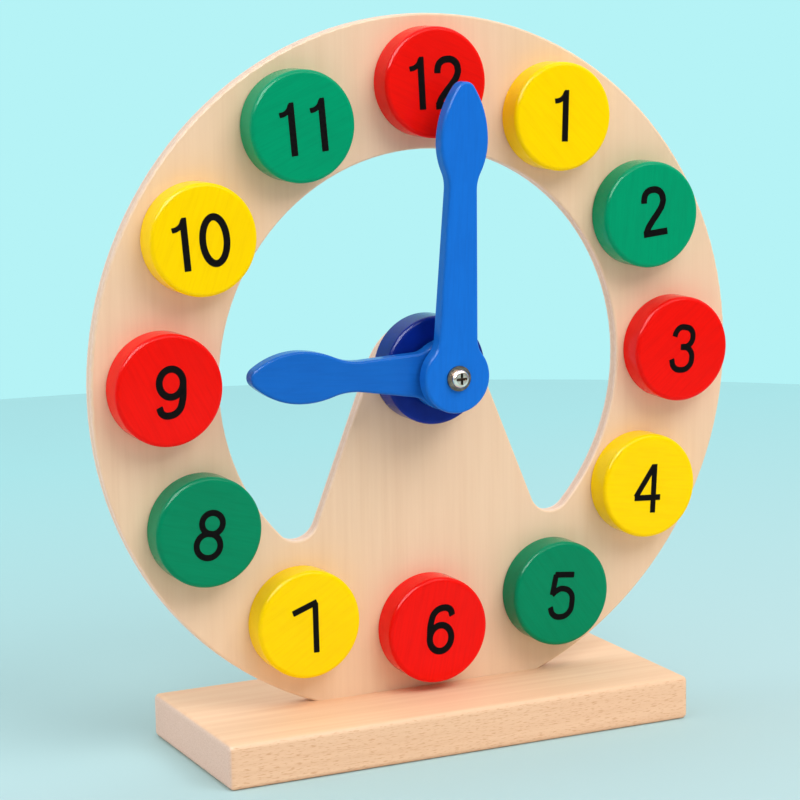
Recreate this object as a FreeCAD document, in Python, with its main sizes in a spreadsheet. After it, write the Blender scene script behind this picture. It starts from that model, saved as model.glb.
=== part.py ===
import FreeCAD, Part
import math
import os
import Sketcher

# Wooden teaching clock: a ring-shaped dial plate on a beech base, twelve loose number
# discs on dowel pegs, and two hands that turn on one screw in front of a painted hub.
# Millimetres. +Z is up and the dial faces -Y. The origin lies under the middle of the
# dial, on the table, halfway from the front edge of the base to its back edge.

# Driving dimensions

SIZES = (
    ("base_length", 170.0, "base block, left to right"),
    ("base_depth", 70.0, "base block, front to back"),
    ("base_thick", 15.0, "base block, table to top face"),
    ("base_edge_round", 1.8, "sanded rounding on every outer edge of the base"),
    ("base_shift", 2.5, "how far the base sits left of the dial's middle"),
    ("slot_front", 34.0, "front edge of the base to the front of the dial plate"),
    ("slot_gap", 0.1, "glue gap round the tenon in its slot"),
    ("plate_radius", 118.0, "outer radius of the dial plate"),
    ("plate_cut", 8.0, "how much of the plate's round is cut off flat on the base"),
    ("plate_thick", 5.0, "thickness of the dial plate"),
    ("plate_edge_round", 0.8, "sanded rounding on the edges of the dial plate"),
    ("rim_width", 43.9, "outer edge of the plate to the big opening, at its middle height"),
    ("opening_drop", 0.6, "middle of the opening below the axis of the hands"),
    ("tongue_radius", 20.7, "round end of the tongue that carries the hub"),
    ("tongue_drop", 4.4, "middle of the tongue's round end below the axis"),
    ("tongue_flare", 22.0, "degrees each side of the tongue leans from upright"),
    ("notch_radius", 8.0, "rounded bottom of the opening beside the tongue"),
    ("tenon_length", 60.0, "tenon under the plate, left to right"),
    ("tenon_depth", 10.0, "how deep the tenon goes into the base"),
    ("disc_inset", 23.2, "outer edge of the plate to the ring of disc middles"),
    ("ring_lift", 0.9, "middle of the ring of discs above the axis of the hands"),
    ("ring_turn", 0.6, "degrees the ring of discs is turned clockwise"),
    ("six_clearance", 3.15, "gap between disc 6 and the base, so it sits above the ring"),
    ("disc_radius", 18.25, "radius of a number disc"),
    ("disc_thick", 10.0, "thickness of a number disc"),
    ("disc_front_round", 1.5, "rounding on the front edge of a disc"),
    ("disc_back_round", 0.6, "rounding on the back edge of a disc"),
    ("peg_radius", 4.0, "radius of the dowel peg behind a disc"),
    ("peg_in_disc", 6.0, "how far the peg goes into its disc"),
    ("peg_recess", 0.3, "how far the peg stops short of the back of the plate"),
    ("peg_chamfer", 0.5, "chamfer on both ends of a peg"),
    ("peg_gap", 0.06, "radial gap between a peg and its holes"),
    ("peg_end_gap", 0.5, "free depth behind the peg in the disc"),
    ("hub_radius", 18.25, "radius of the hub block"),
    ("hub_thick", 11.0, "thickness of the hub block"),
    ("hub_shift", 0.9, "middle of the hub block left of the axis of the hands"),
    ("hub_lift", 0.7, "middle of the hub block above the axis of the hands"),
    ("hand_thick", 5.5, "thickness of both hands"),
    ("hand_edge_round", 1.0, "rounding on the edges of both hands"),
    ("boss_radius", 11.8, "round end of a hand at the screw"),
    ("boss_blend", 8.0, "hollow radius between the round end and the arm"),
    ("blade_tip_radius", 3.5, "rounded tip of a blade"),
    ("minute_length", 96.6, "axis to the tip of the minute hand"),
    ("minute_blade_at", 77.2, "axis to the widest place of the minute blade"),
    ("minute_blade_width", 17.0, "width of the minute blade"),
    ("minute_heel_radius", 23.0, "outline radius of the minute blade on the axis side"),
    ("minute_hollow_radius", 12.0, "hollow radius between the minute arm and its blade"),
    ("minute_neck_width", 10.1, "width of the minute arm at the neck"),
    ("minute_taper", 2.3, "degrees each side of the minute arm leans inwards"),
    ("minute_angle", 2.8, "degrees clockwise from twelve at rest"),
    ("hour_length", 70.2, "axis to the tip of the hour hand"),
    ("hour_blade_at", 52.5, "axis to the widest place of the hour blade"),
    ("hour_blade_width", 17.2, "width of the hour blade"),
    ("hour_heel_radius", 32.0, "outline radius of the hour blade on the axis side"),
    ("hour_hollow_radius", 22.0, "hollow radius between the hour arm and its blade"),
    ("hour_neck_width", 10.3, "width of the hour arm at the neck"),
    ("hour_taper", 6.2, "degrees each side of the hour arm leans inwards"),
    ("hour_angle", 273.8, "degrees clockwise from twelve at rest"),
    ("spacer_radius", 6.0, "radius of the two hidden spacer washers"),
    ("spacer_thick", 1.3, "thickness of a spacer washer"),
    ("float_gap", 0.1, "free play on each face of a hand"),
    ("washer_radius", 4.2, "radius of the front washer"),
    ("washer_thick", 0.8, "thickness of the front washer"),
    ("screw_radius", 1.5, "radius of the screw's shank"),
    ("screw_length", 30.0, "under the screw's head to its point"),
    ("screw_point", 3.0, "length of the screw's point"),
    ("screw_gap", 0.06, "radial gap round the shank in every hole"),
    ("pilot_end_gap", 0.3, "free depth behind the screw's point in the plate"),
    ("head_radius", 3.0, "radius of the screw's pan head"),
    ("head_height", 1.8, "height of the screw's pan head"),
    ("head_corner", 1.1, "rounding of the pan head's rim"),
    ("recess_span", 3.8, "cross recess, tip to tip"),
    ("recess_width", 0.9, "width of one slot of the cross recess"),
    ("recess_depth", 1.2, "depth of the cross recess"),
    ("axis_height", "=base_thick + plate_radius - plate_cut", "table to the axis of the hands"),
    ("opening_radius", "=plate_radius - rim_width", "radius of the big opening"),
    ("ring_radius", "=plate_radius - disc_inset", "radius of the ring of disc middles"),
)

HOURS = range(1, 13)

doc = FreeCAD.newDocument("TeachingClock")
sheet = doc.addObject("Spreadsheet::Sheet", "Sizes")
for row, (alias, number, words) in enumerate(SIZES, start=1):
    sheet.set(f"A{row}", words)
    sheet.set(f"B{row}", str(number))
    sheet.setAlias(f"B{row}", alias)
doc.recompute()
size = {alias: float(sheet.get(alias)) for alias, _, _ in SIZES}

# Places along the axis of the hands, from the plate's front face towards the viewer

DIAL_FRONT = "Sizes.slot_front - Sizes.base_depth / 2"
HUB_FRONT = f"{DIAL_FRONT} - Sizes.hub_thick"
HOUR_BACK = f"{HUB_FRONT} - Sizes.spacer_thick - Sizes.float_gap"
HOUR_FRONT = f"{HOUR_BACK} - Sizes.hand_thick"
MIDDLE_SPACER = f"{HOUR_FRONT} - Sizes.float_gap"
MINUTE_BACK = f"{MIDDLE_SPACER} - Sizes.spacer_thick - Sizes.float_gap"
MINUTE_FRONT = f"{MINUTE_BACK} - Sizes.hand_thick"
WASHER_BACK = f"{MINUTE_FRONT} - Sizes.float_gap"
HEAD_BACK = f"{WASHER_BACK} - Sizes.washer_thick"

DIAL_AXIS_HEIGHT = "Sizes.axis_height"

pieces = []


# Shared construction steps

def new_body(name, x="0", y="0", z="0"):
    """A body for one piece, placed by expressions on the sheet."""
    body = doc.addObject("PartDesign::Body", name)
    body.Label = name
    body.setExpression("Placement.Base.x", x)
    body.setExpression("Placement.Base.y", y)
    body.setExpression("Placement.Base.z", z)
    pieces.append(body)
    return body


def new_sketch(body, name, plane="XZ_Plane"):
    """A sketch on one of the body's own origin planes."""
    sketch = body.newObject("Sketcher::SketchObject", name)
    origin_plane = next(item for item in body.Origin.OriginFeatures if item.Role == plane)
    sketch.AttachmentSupport = [(origin_plane, "")]
    sketch.MapMode = "FlatFace"
    return sketch


def bind(sketch, constraint, expression):
    """Add a constraint whose value follows the sheet."""
    index = sketch.addConstraint(constraint)
    sketch.setExpression(f"Constraints[{index}]", expression)


def add_circle(sketch, radius_now, radius):
    """A circle about the sketch's origin with a bound radius."""
    centre = FreeCAD.Vector(0, 0, 0)
    circle = sketch.addGeometry(Part.Circle(centre, FreeCAD.Vector(0, 0, 1), radius_now))
    sketch.addConstraint(Sketcher.Constraint("Coincident", circle, 3, -1, 1))
    bind(sketch, Sketcher.Constraint("Radius", circle, radius_now), radius)


def add_rectangle(sketch, width_now, height_now, width, height):
    """A rectangle centred on the sketch's origin with bound sides."""
    half_width = width_now / 2
    half_height = height_now / 2
    corners = [
        FreeCAD.Vector(-half_width, -half_height, 0),
        FreeCAD.Vector(half_width, -half_height, 0),
        FreeCAD.Vector(half_width, half_height, 0),
        FreeCAD.Vector(-half_width, half_height, 0),
    ]
    sides = add_polygon(sketch, corners)
    sketch.addConstraint(Sketcher.Constraint("Horizontal", sides[0]))
    sketch.addConstraint(Sketcher.Constraint("Vertical", sides[1]))
    sketch.addConstraint(Sketcher.Constraint("Horizontal", sides[2]))
    sketch.addConstraint(Sketcher.Constraint("Vertical", sides[3]))
    sketch.addConstraint(Sketcher.Constraint("Symmetric", sides[0], 1, sides[2], 1, -1, 1))
    bind(sketch, Sketcher.Constraint("DistanceX", sides[0], 1, sides[0], 2, width_now), width)
    bind(sketch, Sketcher.Constraint("DistanceY", sides[1], 1, sides[1], 2, height_now), height)


def add_polygon(sketch, corners):
    """Straight sides through the corners, closed, each end joined to the next side."""
    sides = []
    for start, end in zip(corners, corners[1:] + corners[:1]):
        sides.append(sketch.addGeometry(Part.LineSegment(start, end)))
    for side, following in zip(sides, sides[1:] + sides[:1]):
        sketch.addConstraint(Sketcher.Constraint("Coincident", side, 2, following, 1))
    return sides


def add_line(sketch, start, end):
    """A straight line, returned as its start and end handles."""
    line = sketch.addGeometry(Part.LineSegment(start, end))
    return (line, 1), (line, 2)


def add_arc(sketch, centre, start, end, anticlockwise):
    """An arc from start to end about centre, returned as its start and end handles."""
    first, last = (start, end) if anticlockwise else (end, start)
    first_angle = math.atan2(first.y - centre.y, first.x - centre.x)
    last_angle = math.atan2(last.y - centre.y, last.x - centre.x)
    while last_angle <= first_angle:
        last_angle += 2 * math.pi
    circle = Part.Circle(centre, FreeCAD.Vector(0, 0, 1), centre.distanceToPoint(start))
    arc = sketch.addGeometry(Part.ArcOfCircle(circle, first_angle, last_angle))
    if anticlockwise:
        return (arc, 1), (arc, 2)
    return (arc, 2), (arc, 1)


def join_smoothly(sketch, chain):
    """Make each end in a closed chain of curves meet the next start, tangent to it."""
    for (_, end), (start, _) in zip(chain, chain[1:] + chain[:1]):
        sketch.addConstraint(Sketcher.Constraint("Tangent", end[0], end[1], start[0], start[1]))


def pad(body, sketch, name, length, backwards=False):
    """Extrude a sketch on the XZ plane towards the viewer, or backwards."""
    feature = body.newObject("PartDesign::Pad", name)
    feature.Profile = sketch
    feature.setExpression("Length", length)
    feature.Reversed = backwards
    sketch.Visibility = False
    doc.recompute()
    return feature


def pocket(body, sketch, name, depth, towards_viewer=False):
    """Cut a sketch into the body, away from the viewer unless told otherwise."""
    before = body.Shape.Volume
    feature = body.newObject("PartDesign::Pocket", name)
    feature.Profile = sketch
    feature.setExpression("Length", depth)
    feature.Reversed = towards_viewer
    sketch.Visibility = False
    doc.recompute()
    if body.Shape.Volume >= before:
        raise RuntimeError(f"{name} cuts nothing")
    return feature


def edge_names(feature, wanted):
    """Names of the feature's edges that pass the test."""
    names = []
    for number, edge in enumerate(feature.Shape.Edges, start=1):
        if wanted(edge):
            names.append(f"Edge{number}")
    return names


def soften(body, feature, name, radius, wanted):
    """Round the chosen edges of the body's last feature."""
    fillet = body.newObject("PartDesign::Fillet", name)
    fillet.Base = (feature, edge_names(feature, wanted))
    fillet.setExpression("Radius", radius)
    doc.recompute()
    return fillet


def lies_at_depth(edge, depth):
    """True for an edge that lies wholly in the plane at this depth along Y."""
    box = edge.BoundBox
    return abs(box.YMin - depth) < 0.001 and abs(box.YMax - depth) < 0.001


def vector(x, y):
    return FreeCAD.Vector(x, y, 0)


# Base block: beech, sanded round, with a slot for the plate's tenon

def make_base():
    body = new_body("base_block", x="-Sizes.base_shift")
    outline = new_sketch(body, "base_outline", "XY_Plane")
    add_rectangle(
        outline, size["base_length"], size["base_depth"], "Sizes.base_length", "Sizes.base_depth"
    )
    block = pad(body, outline, "base_stock", "Sizes.base_thick")
    soften(body, block, "base_rounding", "Sizes.base_edge_round", lambda edge: True)

    slot_outline = new_sketch(body, "slot_outline", "XY_Plane")
    slot_length = "Sizes.tenon_length + 2 * Sizes.slot_gap"
    slot_width = "Sizes.plate_thick + 2 * Sizes.slot_gap"
    add_rectangle(
        slot_outline,
        size["tenon_length"] + 2 * size["slot_gap"],
        size["plate_thick"] + 2 * size["slot_gap"],
        slot_length,
        slot_width,
    )
    slot_outline.setExpression("AttachmentOffset.Base.x", "Sizes.base_shift")
    slot_outline.setExpression(
        "AttachmentOffset.Base.y", f"{DIAL_FRONT} + Sizes.plate_thick / 2"
    )
    slot_outline.setExpression("AttachmentOffset.Base.z", "Sizes.base_thick")
    pocket(body, slot_outline, "slot", "Sizes.tenon_depth + Sizes.slot_gap")


# Dial plate: birch ply ring with a central tongue, cut flat below and tenoned

def plate_shoulder():
    """Height of the plate's flat lower edge, measured from the axis of the hands."""
    return size["base_thick"] - size["axis_height"]


def draw_plate_outline(sketch):
    radius = size["plate_radius"]
    shoulder = plate_shoulder()
    reach = math.sqrt(radius ** 2 - shoulder ** 2)
    half_tenon = size["tenon_length"] / 2
    foot = shoulder - size["tenon_depth"]
    right = vector(reach, shoulder)
    left = vector(-reach, shoulder)
    rim = add_arc(sketch, vector(0, 0), right, left, True)
    points = [
        left,
        vector(-half_tenon, shoulder),
        vector(-half_tenon, foot),
        vector(half_tenon, foot),
        vector(half_tenon, shoulder),
        right,
    ]
    lines = [add_line(sketch, start, end) for start, end in zip(points, points[1:])]
    chain = [rim] + lines
    for (_, end), (start, _) in zip(chain, chain[1:] + chain[:1]):
        sketch.addConstraint(Sketcher.Constraint("Coincident", end[0], end[1], start[0], start[1]))
    sketch.addConstraint(Sketcher.Constraint("Coincident", rim[0][0], 3, -1, 1))
    for line in (lines[0], lines[4]):
        sketch.addConstraint(Sketcher.Constraint("Horizontal", line[0][0]))
    for line in (lines[1], lines[3]):
        sketch.addConstraint(Sketcher.Constraint("Vertical", line[0][0]))
    foot_line = lines[2][0][0]
    sketch.addConstraint(Sketcher.Constraint("Symmetric", foot_line, 1, foot_line, 2, -2))
    left_end = lines[0][0]
    sketch.addConstraint(Sketcher.Constraint("Horizontal", *left_end, *lines[4][1]))
    bind(sketch, Sketcher.Constraint("Radius", rim[0][0], radius), "Sizes.plate_radius")
    bind(
        sketch,
        Sketcher.Constraint("DistanceX", foot_line, 1, foot_line, 2, size["tenon_length"]),
        "Sizes.tenon_length",
    )
    bind(
        sketch,
        Sketcher.Constraint("DistanceY", *left_end, -1, 1, -shoulder),
        "Sizes.axis_height - Sizes.base_thick",
    )
    bind(
        sketch,
        Sketcher.Constraint("DistanceY", *lines[3][0], *lines[3][1], size["tenon_depth"]),
        "Sizes.tenon_depth",
    )


def notch_points(side):
    """Centre and two ends of the rounded notch beside the tongue, and the flank's top."""
    flare = math.radians(size["tongue_flare"])
    outward = vector(math.cos(flare), math.sin(flare))
    downward = vector(math.sin(flare), -math.cos(flare))
    tongue_centre = vector(0, -size["tongue_drop"])
    rim_centre = vector(0, -size["opening_drop"])
    start = tongue_centre + outward * (size["tongue_radius"] + size["notch_radius"]) - rim_centre
    reach = size["opening_radius"] - size["notch_radius"]
    lean = start.dot(downward)
    along = math.sqrt(lean ** 2 - start.dot(start) + reach ** 2) - lean
    from_rim_centre = start + downward * along
    centre = rim_centre + from_rim_centre
    flank_end = centre - outward * size["notch_radius"]
    rim_end = rim_centre + from_rim_centre * (size["opening_radius"] / reach)
    flank_top = tongue_centre + outward * size["tongue_radius"]
    return [vector(side * p.x, p.y) for p in (centre, flank_end, rim_end, flank_top)]


def draw_opening(sketch):
    rim_centre = vector(0, -size["opening_drop"])
    tongue_centre = vector(0, -size["tongue_drop"])
    right_centre, right_low, right_rim, right_top = notch_points(1)
    left_centre, left_low, left_rim, left_top = notch_points(-1)
    rim = add_arc(sketch, rim_centre, right_rim, left_rim, True)
    left_notch = add_arc(sketch, left_centre, left_rim, left_low, True)
    left_flank = add_line(sketch, left_low, left_top)
    tongue_end = add_arc(sketch, tongue_centre, left_top, right_top, False)
    right_flank = add_line(sketch, right_top, right_low)
    right_notch = add_arc(sketch, right_centre, right_low, right_rim, True)
    chain = [rim, left_notch, left_flank, tongue_end, right_flank, right_notch]
    join_smoothly(sketch, chain)
    for arc, name in ((rim, "opening"), (tongue_end, "tongue")):
        curve = arc[0][0]
        drop = size[f"{name}_drop"]
        sketch.addConstraint(Sketcher.Constraint("PointOnObject", curve, 3, -2))
        bind(
            sketch, Sketcher.Constraint("DistanceY", curve, 3, -1, 1, drop), f"Sizes.{name}_drop"
        )
        radius = size[f"{name}_radius"]
        bind(sketch, Sketcher.Constraint("Radius", curve, radius), f"Sizes.{name}_radius")
    for arc in (left_notch, right_notch):
        bind(
            sketch,
            Sketcher.Constraint("Radius", arc[0][0], size["notch_radius"]),
            "Sizes.notch_radius",
        )
    lean = math.radians(90 - size["tongue_flare"])
    bind(
        sketch,
        Sketcher.Constraint("Angle", left_flank[0][0], lean),
        "90 - Sizes.tongue_flare",
    )
    bind(
        sketch,
        Sketcher.Constraint("Angle", right_flank[0][0], -lean),
        "Sizes.tongue_flare - 90",
    )


def hour_place(hour):
    """Expressions for a disc's place right of and above the axis of the hands."""
    turn = f"({30 * hour} + Sizes.ring_turn) * 1 deg"
    right = f"Sizes.ring_radius * sin({turn})"
    up = f"Sizes.ring_lift + Sizes.ring_radius * cos({turn})"
    if hour == 6:
        up = "Sizes.base_thick + Sizes.six_clearance + Sizes.disc_radius - Sizes.axis_height"
    return right, up


def make_plate():
    body = new_body("dial_plate", y=DIAL_FRONT, z=DIAL_AXIS_HEIGHT)
    outline = new_sketch(body, "plate_outline")
    draw_plate_outline(outline)
    pad(body, outline, "plate_stock", "Sizes.plate_thick", backwards=True)
    opening = new_sketch(body, "opening_outline")
    draw_opening(opening)
    cut = pocket(body, opening, "opening", "Sizes.plate_thick")

    shoulder = plate_shoulder()
    faces = (0.0, size["plate_thick"])

    def shows(edge):
        on_face = any(lies_at_depth(edge, depth) for depth in faces)
        return on_face and edge.BoundBox.ZMax > shoulder + size["plate_edge_round"]

    soften(body, cut, "plate_rounding", "Sizes.plate_edge_round", shows)

    for hour in HOURS:
        hole = new_sketch(body, f"peg_hole_outline_{hour:02d}")
        right, up = hour_place(hour)
        hole.setExpression("AttachmentOffset.Base.x", right)
        hole.setExpression("AttachmentOffset.Base.y", up)
        add_circle(
            hole, size["peg_radius"] + size["peg_gap"], "Sizes.peg_radius + Sizes.peg_gap"
        )
        pocket(body, hole, f"peg_hole_{hour:02d}", "Sizes.plate_thick")

    pilot = new_sketch(body, "pilot_outline")
    add_circle(
        pilot, size["screw_radius"] + size["screw_gap"], "Sizes.screw_radius + Sizes.screw_gap"
    )
    screw_in_plate = f"Sizes.screw_length + ({HEAD_BACK}) - ({DIAL_FRONT})"
    pocket(body, pilot, "pilot_hole", f"{screw_in_plate} + Sizes.pilot_end_gap")


# Number discs and hub: turned blanks with softened rims

def add_blank(body, radius, thickness, front_round, back_round):
    """A round blank from the body's XZ plane towards the viewer, both rims softened."""
    outline = new_sketch(body, f"{body.Name}_outline")
    add_circle(outline, size[radius], f"Sizes.{radius}")
    stock = pad(body, outline, f"{body.Name}_stock", f"Sizes.{thickness}")
    front = -size[thickness]
    softened = soften(
        body,
        stock,
        f"{body.Name}_front_rounding",
        f"Sizes.{front_round}",
        lambda edge: lies_at_depth(edge, front),
    )
    softened = soften(
        body,
        softened,
        f"{body.Name}_back_rounding",
        f"Sizes.{back_round}",
        lambda edge: lies_at_depth(edge, 0.0),
    )
    return softened


def make_disc(hour):
    right, up = hour_place(hour)
    body = new_body(
        f"number_disc_{hour:02d}", x=right, y=DIAL_FRONT, z=f"{DIAL_AXIS_HEIGHT} + {up}"
    )
    add_blank(body, "disc_radius", "disc_thick", "disc_front_round", "disc_back_round")
    socket = new_sketch(body, f"{body.Name}_socket_outline")
    add_circle(
        socket, size["peg_radius"] + size["peg_gap"], "Sizes.peg_radius + Sizes.peg_gap"
    )
    pocket(
        body,
        socket,
        f"{body.Name}_socket",
        "Sizes.peg_in_disc + Sizes.peg_end_gap",
        towards_viewer=True,
    )


def make_peg(hour):
    right, up = hour_place(hour)
    body = new_body(
        f"disc_peg_{hour:02d}",
        x=right,
        y=f"{DIAL_FRONT} + Sizes.plate_thick - Sizes.peg_recess",
        z=f"{DIAL_AXIS_HEIGHT} + {up}",
    )
    outline = new_sketch(body, f"{body.Name}_outline")
    add_circle(outline, size["peg_radius"], "Sizes.peg_radius")
    length = "Sizes.plate_thick - Sizes.peg_recess + Sizes.peg_in_disc"
    stock = pad(body, outline, f"{body.Name}_stock", length)
    chamfer = body.newObject("PartDesign::Chamfer", f"{body.Name}_chamfer")
    chamfer.Base = (stock, edge_names(stock, lambda edge: edge.Closed))
    chamfer.setExpression("Size", "Sizes.peg_chamfer")
    doc.recompute()


def make_hub():
    body = new_body(
        "hub_block", x="-Sizes.hub_shift", y=DIAL_FRONT, z=f"{DIAL_AXIS_HEIGHT} + Sizes.hub_lift"
    )
    add_blank(body, "hub_radius", "hub_thick", "disc_front_round", "disc_back_round")
    bore = new_sketch(body, "hub_bore_outline")
    bore.setExpression("AttachmentOffset.Base.x", "Sizes.hub_shift")
    bore.setExpression("AttachmentOffset.Base.y", "-Sizes.hub_lift")
    add_circle(
        bore, size["screw_radius"] + size["screw_gap"], "Sizes.screw_radius + Sizes.screw_gap"
    )
    pocket(body, bore, "hub_bore", "Sizes.hub_thick", towards_viewer=True)


# Hands: one flat outline, a round end, a tapering arm and a leaf-shaped blade

def hand_points(name):
    """Points and centres of the right half of a hand that points up from the axis."""
    length = size[f"{name}_length"]
    blade_at = size[f"{name}_blade_at"]
    half_blade = size[f"{name}_blade_width"] / 2
    half_neck = size[f"{name}_neck_width"] / 2
    taper = math.radians(size[f"{name}_taper"])
    heel = size[f"{name}_heel_radius"]
    hollow = size[f"{name}_hollow_radius"]
    tip = size["blade_tip_radius"]
    boss = size["boss_radius"]
    blend = size["boss_blend"]

    tip_centre = vector(0, length - tip)
    rise = tip_centre.y - blade_at
    cheek = (rise ** 2 + half_blade ** 2 - tip ** 2) / (2 * (half_blade - tip))
    widest = vector(half_blade, blade_at)
    cheek_centre = vector(half_blade - cheek, blade_at)
    tip_start = cheek_centre + (tip_centre - cheek_centre) * (cheek / (cheek - tip))
    heel_centre = vector(half_blade - heel, blade_at)

    outward = vector(math.cos(taper), math.sin(taper))
    upward = vector(-math.sin(taper), math.cos(taper))
    hollow_x = half_neck + hollow * outward.x
    drop = math.sqrt((heel + hollow) ** 2 - (hollow_x - heel_centre.x) ** 2)
    hollow_centre = vector(hollow_x, blade_at - drop)
    neck = hollow_centre - outward * hollow
    heel_start = heel_centre + (hollow_centre - heel_centre) * (heel / (heel + hollow))

    off_line = neck.dot(outward) + blend
    along = math.sqrt((boss + blend) ** 2 - off_line ** 2)
    blend_centre = outward * off_line + upward * along
    arm_foot = blend_centre - outward * blend
    boss_end = blend_centre * (boss / (boss + blend))
    return {
        "boss_end": boss_end,
        "blend_centre": blend_centre,
        "arm_foot": arm_foot,
        "neck": neck,
        "hollow_centre": hollow_centre,
        "heel_start": heel_start,
        "heel_centre": heel_centre,
        "widest": widest,
        "cheek_centre": cheek_centre,
        "tip_start": tip_start,
        "tip_centre": tip_centre,
    }


def draw_hand(sketch, name):
    right = hand_points(name)
    left = {key: vector(-point.x, point.y) for key, point in right.items()}
    axis = vector(0, 0)

    boss = add_arc(sketch, axis, left["boss_end"], right["boss_end"], True)
    blend_r = add_arc(sketch, right["blend_centre"], right["boss_end"], right["arm_foot"], False)
    arm_r = add_line(sketch, right["arm_foot"], right["neck"])
    hollow_r = add_arc(sketch, right["hollow_centre"], right["neck"], right["heel_start"], False)
    heel_r = add_arc(sketch, right["heel_centre"], right["heel_start"], right["widest"], True)
    cheek_r = add_arc(sketch, right["cheek_centre"], right["widest"], right["tip_start"], True)
    tip = add_arc(sketch, right["tip_centre"], right["tip_start"], left["tip_start"], True)
    cheek_l = add_arc(sketch, left["cheek_centre"], left["tip_start"], left["widest"], True)
    heel_l = add_arc(sketch, left["heel_centre"], left["widest"], left["heel_start"], True)
    hollow_l = add_arc(sketch, left["hollow_centre"], left["heel_start"], left["neck"], False)
    arm_l = add_line(sketch, left["neck"], left["arm_foot"])
    blend_l = add_arc(sketch, left["blend_centre"], left["arm_foot"], left["boss_end"], False)
    chain = [
        boss, blend_r, arm_r, hollow_r, heel_r, cheek_r,
        tip, cheek_l, heel_l, hollow_l, arm_l, blend_l,
    ]
    join_smoothly(sketch, chain)

    sketch.addConstraint(Sketcher.Constraint("Coincident", boss[0][0], 3, -1, 1))
    sketch.addConstraint(Sketcher.Constraint("PointOnObject", tip[0][0], 3, -2))
    radii = (
        (boss, "boss_radius"),
        (blend_r, "boss_blend"),
        (blend_l, "boss_blend"),
        (hollow_r, f"{name}_hollow_radius"),
        (hollow_l, f"{name}_hollow_radius"),
        (heel_r, f"{name}_heel_radius"),
        (heel_l, f"{name}_heel_radius"),
        (tip, "blade_tip_radius"),
    )
    for arc, alias in radii:
        bind(sketch, Sketcher.Constraint("Radius", arc[0][0], size[alias]), f"Sizes.{alias}")

    half_neck = f"Sizes.{name}_neck_width / 2"
    half_blade = f"Sizes.{name}_blade_width / 2"
    bind(
        sketch,
        Sketcher.Constraint("DistanceX", -1, 1, *arm_r[1], right["neck"].x),
        half_neck,
    )
    bind(
        sketch,
        Sketcher.Constraint("DistanceX", *arm_l[0], -1, 1, right["neck"].x),
        half_neck,
    )
    lean = size[f"{name}_taper"]
    bind(
        sketch,
        Sketcher.Constraint("Angle", arm_r[0][0], math.radians(90 + lean)),
        f"90 + Sizes.{name}_taper",
    )
    bind(
        sketch,
        Sketcher.Constraint("Angle", arm_l[0][0], math.radians(-90 - lean)),
        f"-90 - Sizes.{name}_taper",
    )
    for heel, widest_end, first, last in (
        (heel_r, heel_r[1], (-1, 1), heel_r[1]),
        (heel_l, heel_l[0], heel_l[0], (-1, 1)),
    ):
        bind(
            sketch,
            Sketcher.Constraint("DistanceX", *first, *last, right["widest"].x),
            half_blade,
        )
        bind(
            sketch,
            Sketcher.Constraint("DistanceY", -1, 1, *widest_end, right["widest"].y),
            f"Sizes.{name}_blade_at",
        )
        sketch.addConstraint(
            Sketcher.Constraint("Horizontal", heel[0][0], 3, widest_end[0], widest_end[1])
        )
    bind(
        sketch,
        Sketcher.Constraint("DistanceY", -1, 1, tip[0][0], 3, right["tip_centre"].y),
        f"Sizes.{name}_length - Sizes.blade_tip_radius",
    )


def make_hand(name, back):
    body = new_body(f"{name}_hand", y=back, z=DIAL_AXIS_HEIGHT)
    turn = FreeCAD.Rotation(FreeCAD.Vector(0, 1, 0), size[f"{name}_angle"])
    body.Placement = FreeCAD.Placement(body.Placement.Base, turn)
    body.setExpression("Placement.Rotation.Angle", f"Sizes.{name}_angle")
    outline = new_sketch(body, f"{name}_outline")
    draw_hand(outline, name)
    stock = pad(body, outline, f"{name}_stock", "Sizes.hand_thick")
    faces = (0.0, -size["hand_thick"])
    soften(
        body,
        stock,
        f"{name}_rounding",
        "Sizes.hand_edge_round",
        lambda edge: any(lies_at_depth(edge, depth) for depth in faces),
    )
    bore = new_sketch(body, f"{name}_bore_outline")
    add_circle(
        bore, size["screw_radius"] + size["screw_gap"], "Sizes.screw_radius + Sizes.screw_gap"
    )
    pocket(body, bore, f"{name}_bore", "Sizes.hand_thick", towards_viewer=True)


# Washers and screw that hold the hands

def make_washer(name, back, radius, thickness):
    body = new_body(name, y=back, z=DIAL_AXIS_HEIGHT)
    outline = new_sketch(body, f"{name}_outline")
    add_circle(outline, size[radius], f"Sizes.{radius}")
    add_circle(
        outline, size["screw_radius"] + size["screw_gap"], "Sizes.screw_radius + Sizes.screw_gap"
    )
    pad(body, outline, f"{name}_stock", f"Sizes.{thickness}")


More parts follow.
